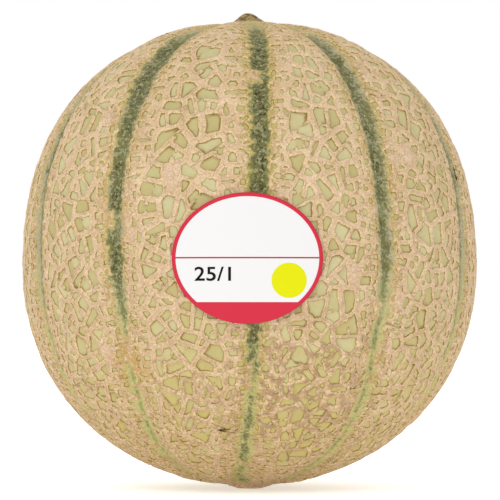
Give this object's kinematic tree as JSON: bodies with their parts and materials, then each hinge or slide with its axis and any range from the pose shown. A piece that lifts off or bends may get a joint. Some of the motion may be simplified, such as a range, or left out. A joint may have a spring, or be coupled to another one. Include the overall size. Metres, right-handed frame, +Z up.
{
  "type": "cantaloupe melon",
  "caption": "Whole netted cantaloupe melon with lobes, sutures, raised corky net, stem stub and an oval paper label.",
  "frame": {"origin": "middle of the flat blossom scar that the melon rests on, on the melon's axis", "axes": "+Z up the melon, from the blossom scar to the crown; -Y towards the label; +X to the right as seen from the label's side"},
  "size_m": [0.1394, 0.14, 0.1471],
  "materials": {
    "rind": "netted cork over matt skin",
    "label_paper": "coated, printed"
  },
  "bodies": {
    "root": {"melon": "rind", "paper_label": "label_paper"}
  },
  "joints": []
}
